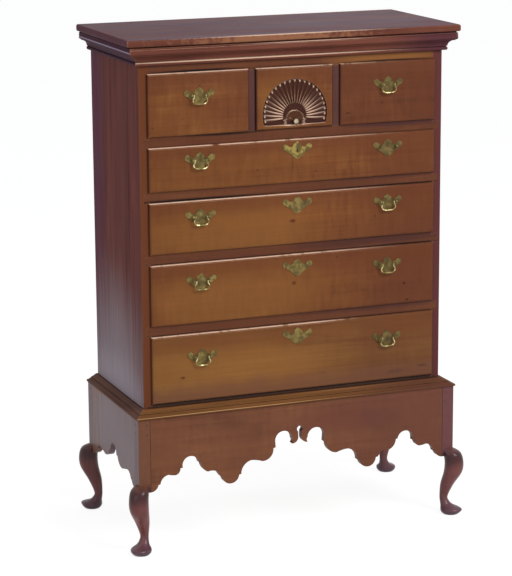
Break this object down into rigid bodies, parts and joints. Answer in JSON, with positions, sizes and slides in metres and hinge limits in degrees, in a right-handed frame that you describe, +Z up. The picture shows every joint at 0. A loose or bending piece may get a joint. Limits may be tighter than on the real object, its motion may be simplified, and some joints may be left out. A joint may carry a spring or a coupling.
{
  "type": "highboy chest on frame",
  "caption": "Two-part highboy: a case of lipped drawers with a carved fan and cornice on a low frame with scalloped aprons and cabriole legs.",
  "frame": {"origin": "on the floor, on the centre line and midway through the depth of the frame", "axes": "+X to the right seen from the front, +Y to the back, +Z up; the drawers open along -Y"},
  "size_m": [1.0406, 0.5334, 1.4542],
  "materials": {
    "drawer_front": "old wax over a red-brown stain, satin, with figured horizontal grain",
    "rail": "old wax over a dark red-brown stain, satin",
    "case_side": "dark red-brown stain gone purple-grey, satin, vertical grain",
    "top_board": "dark red-brown stain, worn satin, grain along its length",
    "moulding": "old wax over a dark red-brown stain, satin with worn edges",
    "leg": "dark red-brown stain rubbed to a gloss on the knees",
    "apron": "dark red-brown stain, satin",
    "peg": "dark end grain",
    "inside_wood": "bare secondary wood, matt and dry",
    "brass": "old dull brass, darkened in its hollows",
    "iron": "dark wrought iron"
  },
  "bodies": {
    "lower_frame": {"front_left_leg": "leg", "front_right_leg": "leg", "back_left_leg": "leg", "back_right_leg": "leg", "front_apron": "apron", "left_apron": "apron", "right_apron": "apron", "back_apron": "apron", "case_bearers": "inside_wood", "joint_pegs": "peg", "waist_moulding_front": "moulding", "waist_moulding_left": "moulding", "waist_moulding_right": "moulding"},
    "upper_case": {"left_side": "case_side", "right_side": "case_side", "top_board": "top_board", "back_boards": "inside_wood", "bottom_boards": "inside_wood", "drawer_runners": "inside_wood", "top_row_dividers": "rail", "top_row_runners": "inside_wood", "front_rail": "rail", "drawer_blades": "rail", "top_rail": "rail", "cornice_front": "moulding", "cornice_left": "moulding", "cornice_right": "moulding"},
    "top_left_drawer": {"top_left_drawer_front": "drawer_front", "top_left_drawer_box": "inside_wood", "top_left_drawer_brasses": "brass"},
    "fan_drawer": {"fan_drawer_front": "drawer_front", "fan_drawer_box": "inside_wood", "fan_knob": "brass"},
    "top_right_drawer": {"top_right_drawer_front": "drawer_front", "top_right_drawer_box": "inside_wood", "top_right_drawer_brasses": "brass"},
    "first_long_drawer": {"first_long_drawer_front": "drawer_front", "first_long_drawer_box": "inside_wood", "first_long_drawer_brasses": "brass", "lock_case": "iron"},
    "second_long_drawer": {"second_long_drawer_front": "drawer_front", "second_long_drawer_box": "inside_wood", "second_long_drawer_brasses": "brass"},
    "third_long_drawer": {"third_long_drawer_front": "drawer_front", "third_long_drawer_box": "inside_wood", "third_long_drawer_brasses": "brass"},
    "fourth_long_drawer": {"fourth_long_drawer_front": "drawer_front", "fourth_long_drawer_box": "inside_wood", "fourth_long_drawer_brasses": "brass"},
    "top_left_drawer_bail": {"top_left_drawer_bail": "brass"},
    "top_right_drawer_bail": {"top_right_drawer_bail": "brass"},
    "first_long_drawer_left_bail": {"first_long_drawer_left_bail": "brass"},
    "second_long_drawer_left_bail": {"second_long_drawer_left_bail": "brass"},
    "second_long_drawer_right_bail": {"second_long_drawer_right_bail": "brass"},
    "third_long_drawer_left_bail": {"third_long_drawer_left_bail": "brass"},
    "third_long_drawer_right_bail": {"third_long_drawer_right_bail": "brass"},
    "fourth_long_drawer_left_bail": {"fourth_long_drawer_left_bail": "brass"},
    "fourth_long_drawer_right_bail": {"fourth_long_drawer_right_bail": "brass"},
    "lock_bolt": {"lock_bolt": "iron"}
  },
  "joints": [
    {"name": "case_lifts_off", "type": "slide", "parent": "lower_frame", "child": "upper_case", "axis": [0, 0, 1], "range_m": [0, 0.12]},
    {"name": "top_left_drawer_slide", "type": "slide", "parent": "upper_case", "child": "top_left_drawer", "axis": [0, -1, 0], "range_m": [0, 0.3]},
    {"name": "fan_drawer_slide", "type": "slide", "parent": "upper_case", "child": "fan_drawer", "axis": [0, -1, 0], "range_m": [0, 0.3]},
    {"name": "top_right_drawer_slide", "type": "slide", "parent": "upper_case", "child": "top_right_drawer", "axis": [0, -1, 0], "range_m": [0, 0.3]},
    {"name": "first_long_drawer_slide", "type": "slide", "parent": "upper_case", "child": "first_long_drawer", "axis": [0, -1, 0], "range_m": [0, 0.3]},
    {"name": "second_long_drawer_slide", "type": "slide", "parent": "upper_case", "child": "second_long_drawer", "axis": [0, -1, 0], "range_m": [0, 0.3]},
    {"name": "third_long_drawer_slide", "type": "slide", "parent": "upper_case", "child": "third_long_drawer", "axis": [0, -1, 0], "range_m": [0, 0.3]},
    {"name": "fourth_long_drawer_slide", "type": "slide", "parent": "upper_case", "child": "fourth_long_drawer", "axis": [0, -1, 0], "range_m": [0, 0.3]},
    {"name": "top_left_drawer_bail_swing", "type": "hinge", "parent": "top_left_drawer", "child": "top_left_drawer_bail", "pos_m": [-0.285, -0.2138, 1.2926], "axis": [-1, 0, 0], "range_deg": [-12, 190]},
    {"name": "top_right_drawer_bail_swing", "type": "hinge", "parent": "top_right_drawer", "child": "top_right_drawer_bail", "pos_m": [0.285, -0.2138, 1.2926], "axis": [-1, 0, 0], "range_deg": [-12, 190]},
    {"name": "first_long_drawer_left_bail_swing", "type": "hinge", "parent": "first_long_drawer", "child": "first_long_drawer_left_bail", "pos_m": [-0.285, -0.2138, 1.1128], "axis": [-1, 0, 0], "range_deg": [-12, 190]},
    {"name": "second_long_drawer_left_bail_swing", "type": "hinge", "parent": "second_long_drawer", "child": "second_long_drawer_left_bail", "pos_m": [-0.285, -0.2138, 0.954], "axis": [-1, 0, 0], "range_deg": [-12, 190]},
    {"name": "second_long_drawer_right_bail_swing", "type": "hinge", "parent": "second_long_drawer", "child": "second_long_drawer_right_bail", "pos_m": [0.285, -0.2138, 0.954], "axis": [-1, 0, 0], "range_deg": [-12, 190]},
    {"name": "third_long_drawer_left_bail_swing", "type": "hinge", "parent": "third_long_drawer", "child": "third_long_drawer_left_bail", "pos_m": [-0.285, -0.2138, 0.7702], "axis": [-1, 0, 0], "range_deg": [-12, 190]},
    {"name": "third_long_drawer_right_bail_swing", "type": "hinge", "parent": "third_long_drawer", "child": "third_long_drawer_right_bail", "pos_m": [0.285, -0.2138, 0.7702], "axis": [-1, 0, 0], "range_deg": [-12, 190]},
    {"name": "fourth_long_drawer_left_bail_swing", "type": "hinge", "parent": "fourth_long_drawer", "child": "fourth_long_drawer_left_bail", "pos_m": [-0.285, -0.2138, 0.5524], "axis": [-1, 0, 0], "range_deg": [-12, 190]},
    {"name": "fourth_long_drawer_right_bail_swing", "type": "hinge", "parent": "fourth_long_drawer", "child": "fourth_long_drawer_right_bail", "pos_m": [0.285, -0.2138, 0.5524], "axis": [-1, 0, 0], "range_deg": [-12, 190]},
    {"name": "lock_bolt_throw", "type": "slide", "parent": "first_long_drawer", "child": "lock_bolt", "axis": [0, 0, 1], "range_m": [0, 0.008]}
  ]
}
